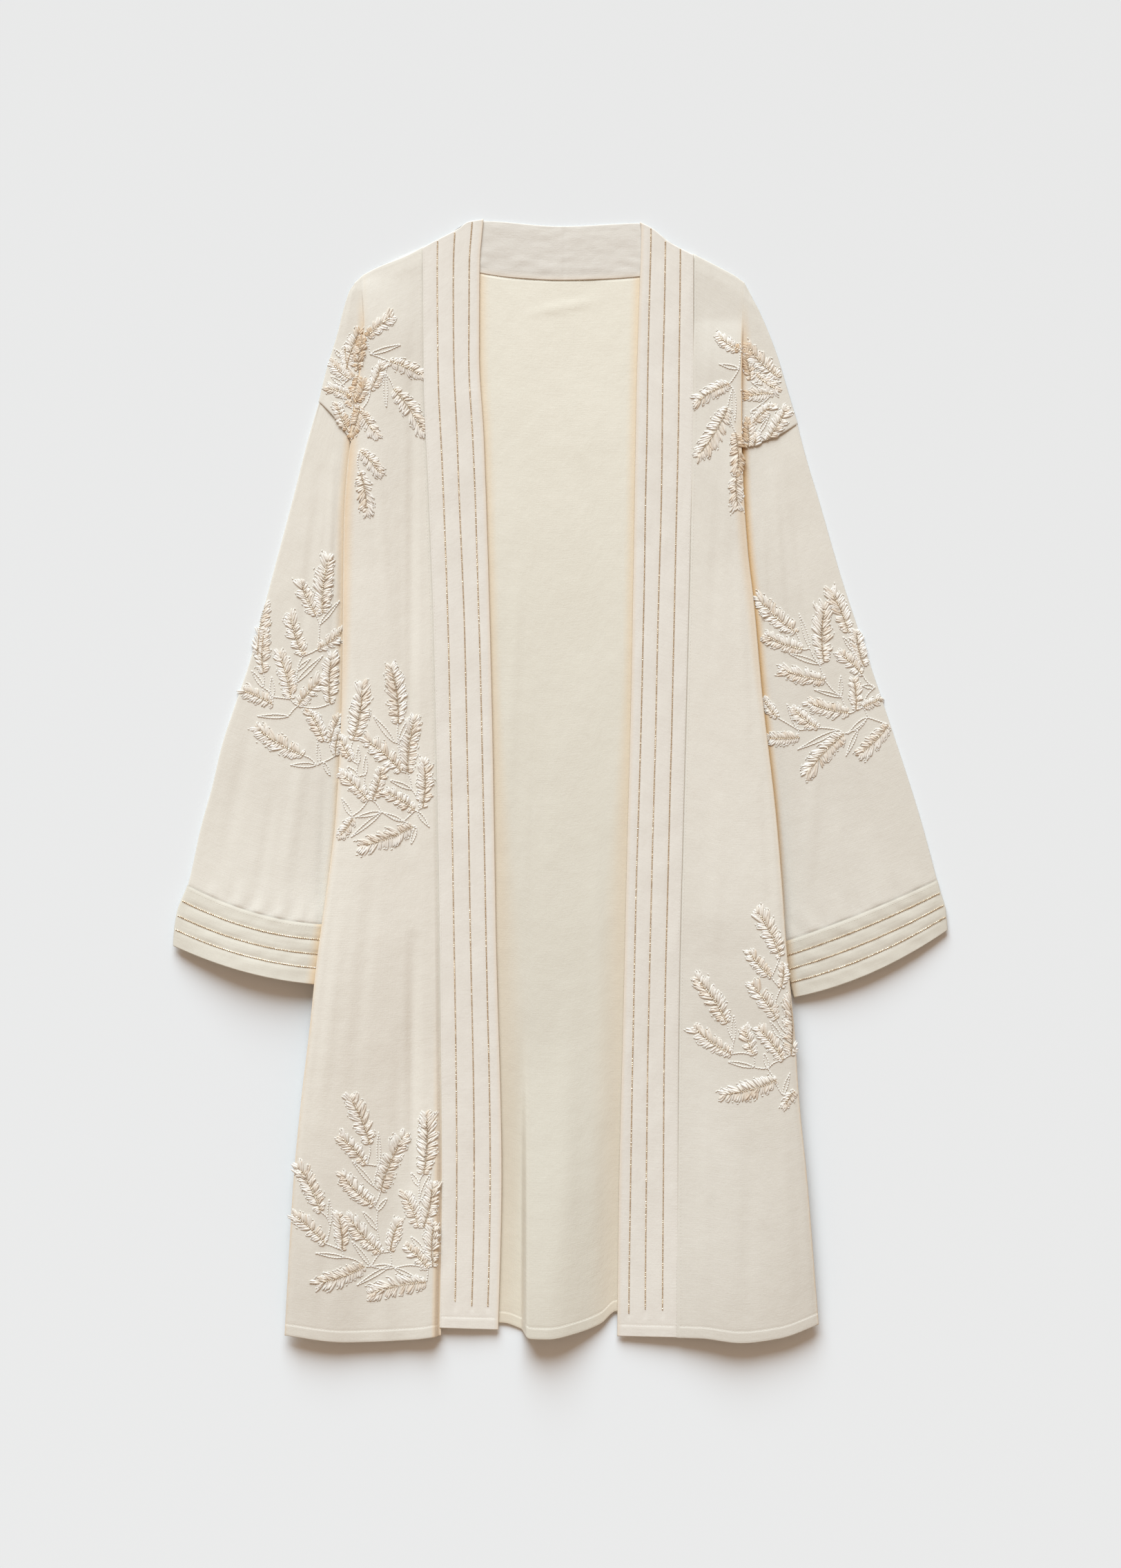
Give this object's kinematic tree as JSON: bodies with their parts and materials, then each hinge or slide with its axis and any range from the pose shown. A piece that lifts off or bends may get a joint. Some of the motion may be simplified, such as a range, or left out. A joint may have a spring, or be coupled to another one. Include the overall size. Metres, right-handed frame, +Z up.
{
  "type": "open-front kaftan laid flat",
  "caption": "Open-front kaftan laid flat, with flared sleeves, double-cloth bands and cuffs, and embroidered leaf sprays.",
  "frame": {"origin": "centre of the garment's outline, on the surface it lies on", "axes": "+Z up out of the surface, +Y from the hem to the neck, +X to the right as seen from above"},
  "size_m": [0.729, 1.0568, 0.0222],
  "materials": {
    "linen": "plain-woven natural linen and cotton, matt",
    "band_linen": "the same cloth doubled, matt",
    "silk_thread": "thick glossy embroidery thread",
    "gold_trim": "fine bright metal bead chain",
    "sewing_thread": "matt thread"
  },
  "bodies": {
    "root": {"back": "linen", "front_left": "linen", "front_right": "linen", "sleeve_left": "linen", "sleeve_right": "linen", "band_left": "band_linen", "band_right": "band_linen", "neck_band": "band_linen", "cuff_left": "band_linen", "cuff_right": "band_linen", "spray_drop_left": "silk_thread", "spray_drop_right": "silk_thread", "spray_front_right": "silk_thread", "spray_hem_left": "silk_thread", "spray_hip_left": "silk_thread", "spray_shoulder_left": "silk_thread", "spray_shoulder_right": "silk_thread", "spray_sleeve_left": "silk_thread", "spray_sleeve_right": "silk_thread"}
  },
  "joints": []
}
